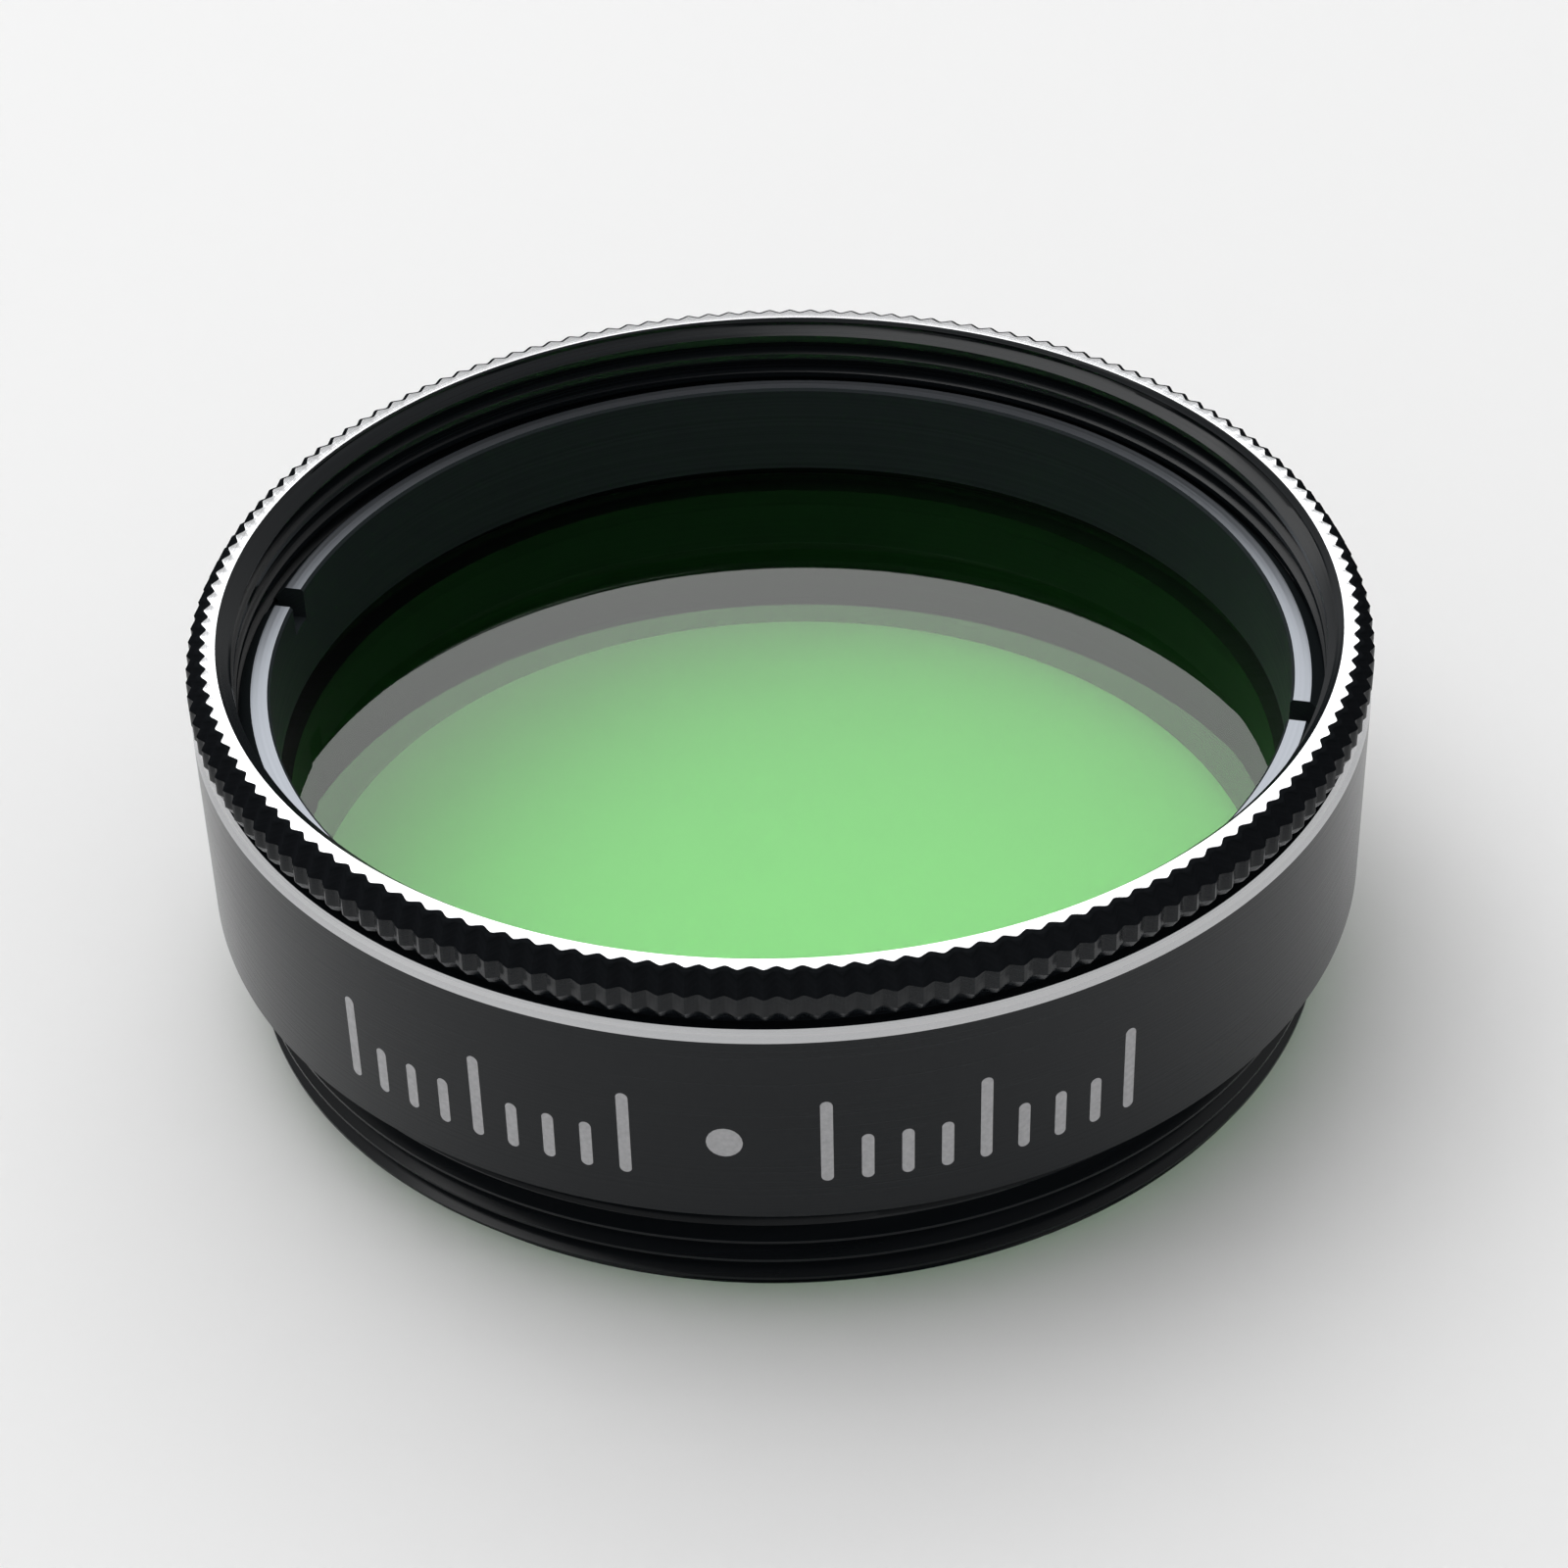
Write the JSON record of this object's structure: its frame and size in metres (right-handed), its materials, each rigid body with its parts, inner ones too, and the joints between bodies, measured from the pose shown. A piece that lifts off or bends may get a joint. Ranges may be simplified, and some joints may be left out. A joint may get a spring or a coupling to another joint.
{
  "type": "screw-in eyepiece filter",
  "caption": "Round black cell with a knurled rim, a green glass disc held by a slotted ring, a male thread below and the same female thread in the mouth.",
  "frame": {"origin": "middle of the threaded end that the filter stands on", "axes": "+Z along the optical axis, towards the knurled mouth; +X to the right in the picture and -Y towards the camera"},
  "size_m": [0.0302, 0.0302, 0.0105],
  "materials": {
    "cell_anodised": "satin black anodised, bright turned rim and line, pale engraved marks",
    "green_glass": "polished, dyed in the mass",
    "ring_anodised": "matt black anodised"
  },
  "bodies": {
    "root": {"filter_cell": "cell_anodised", "filter_glass": "green_glass", "retaining_ring": "ring_anodised"}
  },
  "joints": []
}
